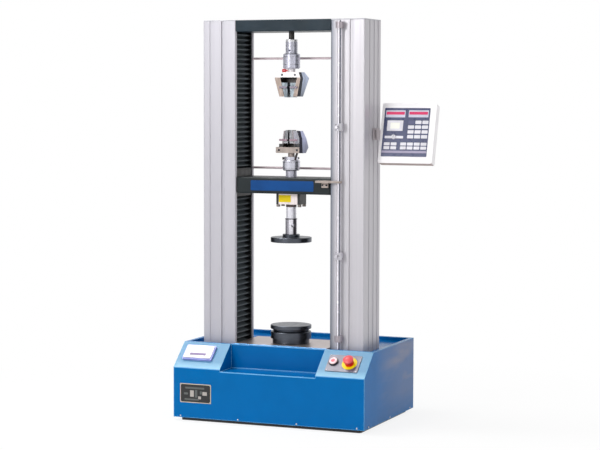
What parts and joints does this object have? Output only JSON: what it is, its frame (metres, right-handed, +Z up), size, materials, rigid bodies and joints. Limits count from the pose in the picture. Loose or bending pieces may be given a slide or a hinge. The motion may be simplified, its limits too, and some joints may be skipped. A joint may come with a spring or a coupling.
{
  "type": "universal testing machine",
  "caption": "Door-frame tension and compression tester: twin columns on a console base, moving crosshead, wedge grips, round platens and an arm-mounted keypad controller.",
  "frame": {"origin": "on the floor, directly under the load axis through the grips and platens", "axes": "+Z up along the load axis, +X to the right seen from the operator's side, +Y to the back"},
  "size_m": [0.982, 0.5725, 1.57],
  "materials": {
    "blue_cover": "semi-gloss blue paint",
    "black_base": "matt black paint",
    "frame_steel": "grey primer",
    "table_steel": "ground steel",
    "column_aluminium": "satin silver anodised",
    "dark_beam": "satin dark slate paint",
    "bright_steel": "ground bright steel",
    "chrome_fitting": "polished plating",
    "dark_steel": "blackened steel",
    "jaw_steel": "hardened steel",
    "grip_body": "warm grey plated",
    "cell_body": "satin nickel",
    "bellows_rubber": "coated fabric",
    "belt_rubber": "moulded rubber",
    "bronze": "sintered bronze",
    "motor_black": "satin black",
    "black_plastic": "matt",
    "white_plastic": "gloss",
    "case_grey": "fine texture",
    "panel_grey": "satin",
    "red_plastic": "gloss"
  },
  "bodies": {
    "frame": {"base_plate": "black_base", "base_frame": "frame_steel", "base_housing": "blue_cover", "top_cover": "blue_cover", "work_table": "table_steel", "rear_panel": "blue_cover", "mains_inlet": "black_plastic", "left_column": "column_aluminium", "right_column": "column_aluminium", "column_caps": "dark_beam", "top_beam": "dark_beam", "tie_rods": "bright_steel", "guide_rods": "bright_steel", "screw_bearings": "dark_steel", "servo_motor": "motor_black", "drive_belt": "belt_rubber", "upper_bellows": "bellows_rubber", "lower_bellows": "bellows_rubber", "platen_base": "dark_steel", "platen_seat": "dark_steel", "hanger_sleeve": "chrome_fitting", "hanger_coupling": "chrome_fitting", "upper_grip_body": "grip_body", "upper_grip_side_plate": "dark_steel", "limit_guides": "dark_steel", "printer_body": "panel_grey", "control_panel": "panel_grey", "controller_bracket": "frame_steel"},
    "crosshead_carriage": {"crosshead": "dark_beam", "ball_nuts": "bright_steel", "guide_bushes": "bronze", "bellows_frames": "dark_steel", "load_cell": "cell_body", "cell_side_plates": "dark_steel", "platen_spigot": "bright_steel", "platen_sleeve": "dark_steel", "upper_platen": "dark_steel", "striker_arm": "grip_body", "lower_stem": "chrome_fitting", "lower_coupling": "chrome_fitting", "lower_grip_body": "grip_body", "lower_grip_side_plate": "dark_steel"},
    "left_screw": {"left_ball_screw": "bright_steel"},
    "right_screw": {"right_ball_screw": "bright_steel"},
    "motor_rotor": {"motor_shaft": "bright_steel"},
    "upper_knob": {"upper_jaw_shaft": "dark_steel"},
    "upper_left_jaw": {"upper_jaw_left": "jaw_steel"},
    "upper_right_jaw": {"upper_jaw_right": "jaw_steel"},
    "lower_knob": {"lower_jaw_shaft": "dark_steel"},
    "lower_left_jaw": {"lower_jaw_left": "jaw_steel"},
    "lower_right_jaw": {"lower_jaw_right": "jaw_steel"},
    "lower_platen_disc": {"platen_disc": "dark_steel"},
    "limit_bar": {"limit_rod": "bright_steel"},
    "upper_travel_stop": {"upper_stop": "black_plastic"},
    "lower_travel_stop": {"lower_stop": "black_plastic"},
    "start": {"start_button": "red_plastic"},
    "emergency_stop": {"stop_button": "red_plastic"},
    "paper_door": {"printer_door": "white_plastic"},
    "controller_arm": {"controller_leaf": "frame_steel"},
    "controller": {"controller_case": "case_grey"}
  },
  "joints": [
    {"name": "crosshead_travel", "type": "slide", "parent": "frame", "child": "crosshead_carriage", "axis": [0, 0, 1], "range_m": [-0.267, 0.1], "deforming": ["upper_bellows", "lower_bellows"]},
    {"name": "left_screw_spin", "type": "hinge", "parent": "frame", "child": "left_screw", "pos_m": [-0.27, -0.03, 0.6], "axis": [0, 0, 1], "range_deg": [-9622, 3610]},
    {"name": "right_screw_spin", "type": "hinge", "parent": "frame", "child": "right_screw", "pos_m": [0.27, -0.03, 0.6], "axis": [0, 0, 1], "range_deg": [-9622, 3610]},
    {"name": "motor_spin", "type": "hinge", "parent": "frame", "child": "motor_rotor", "pos_m": [0.06, 0.19, 0.15], "axis": [0, 0, 1], "range_deg": [-24040, 9010]},
    {"name": "upper_jaw_knob", "type": "hinge", "parent": "frame", "child": "upper_knob", "pos_m": [0, 0.038, 1.308], "axis": [0, 1, 0], "range_deg": [-101, 69]},
    {"name": "upper_left_jaw_slide", "type": "slide", "parent": "frame", "child": "upper_left_jaw", "axis": [0.2164, 0, -0.9763], "range_m": [-0.0174, 0.0118]},
    {"name": "upper_right_jaw_slide", "type": "slide", "parent": "frame", "child": "upper_right_jaw", "axis": [-0.2164, 0, -0.9763], "range_m": [-0.018, 0.012]},
    {"name": "lower_jaw_knob", "type": "hinge", "parent": "crosshead_carriage", "child": "lower_knob", "pos_m": [0, 0.038, 1.102], "axis": [0, 1, 0], "range_deg": [-75, 58]},
    {"name": "lower_left_jaw_slide", "type": "slide", "parent": "crosshead_carriage", "child": "lower_left_jaw", "axis": [0.1392, 0, 0.9903], "range_m": [-0.0128, 0.0098]},
    {"name": "lower_right_jaw_slide", "type": "slide", "parent": "crosshead_carriage", "child": "lower_right_jaw", "axis": [-0.1392, 0, 0.9903], "range_m": [-0.013, 0.01]},
    {"name": "platen_tilt", "type": "hinge", "parent": "frame", "child": "lower_platen_disc", "pos_m": [0, 0, 0.372], "axis": [1, 0, 0], "range_deg": [-2.5, 2.5]},
    {"name": "limit_bar_slide", "type": "slide", "parent": "frame", "child": "limit_bar", "axis": [0, 0, 1], "range_m": [-0.004, 0.004], "stiffness_N_per_m": 6000},
    {"name": "upper_stop_slide", "type": "slide", "parent": "limit_bar", "child": "upper_travel_stop", "axis": [0, 0, 1], "range_m": [-0.17, 0.35]},
    {"name": "lower_stop_slide", "type": "slide", "parent": "limit_bar", "child": "lower_travel_stop", "axis": [0, 0, 1], "range_m": [-0.28, 0.25]},
    {"name": "start_press", "type": "slide", "parent": "frame", "child": "start", "axis": [0, 0.6606, -0.7507], "range_m": [0, 0.003], "stiffness_N_per_m": 600},
    {"name": "emergency_stop_press", "type": "slide", "parent": "frame", "child": "emergency_stop", "axis": [0, 0.6606, -0.7507], "range_m": [0, 0.006], "stiffness_N_per_m": 900},
    {"name": "paper_door_hinge", "type": "hinge", "parent": "frame", "child": "paper_door", "pos_m": [-0.312, -0.16544, 0.28886], "axis": [1, 0, 0], "range_deg": [-85, 0]},
    {"name": "controller_swivel", "type": "hinge", "parent": "frame", "child": "controller_arm", "pos_m": [0.352, 0.022, 1.128], "axis": [0, 0, 1], "range_deg": [-25, 10]},
    {"name": "controller_tilt", "type": "hinge", "parent": "controller_arm", "child": "controller", "pos_m": [0.372, 0.042, 1.128], "axis": [1, 0, 0], "range_deg": [-12, 8]}
  ],
  "couplings": [
    {"joint": "left_screw_spin", "follows": "crosshead_travel", "rad_per_m": 628.32},
    {"joint": "right_screw_spin", "follows": "crosshead_travel", "rad_per_m": 628.32},
    {"joint": "motor_spin", "follows": "crosshead_travel", "rad_per_m": 1570.8},
    {"joint": "upper_right_jaw_slide", "follows": "upper_left_jaw_slide", "ratio": 1},
    {"joint": "upper_jaw_knob", "follows": "upper_left_jaw_slide", "rad_per_m": 100},
    {"joint": "lower_right_jaw_slide", "follows": "lower_left_jaw_slide", "ratio": 1},
    {"joint": "lower_jaw_knob", "follows": "lower_left_jaw_slide", "rad_per_m": 100}
  ]
}
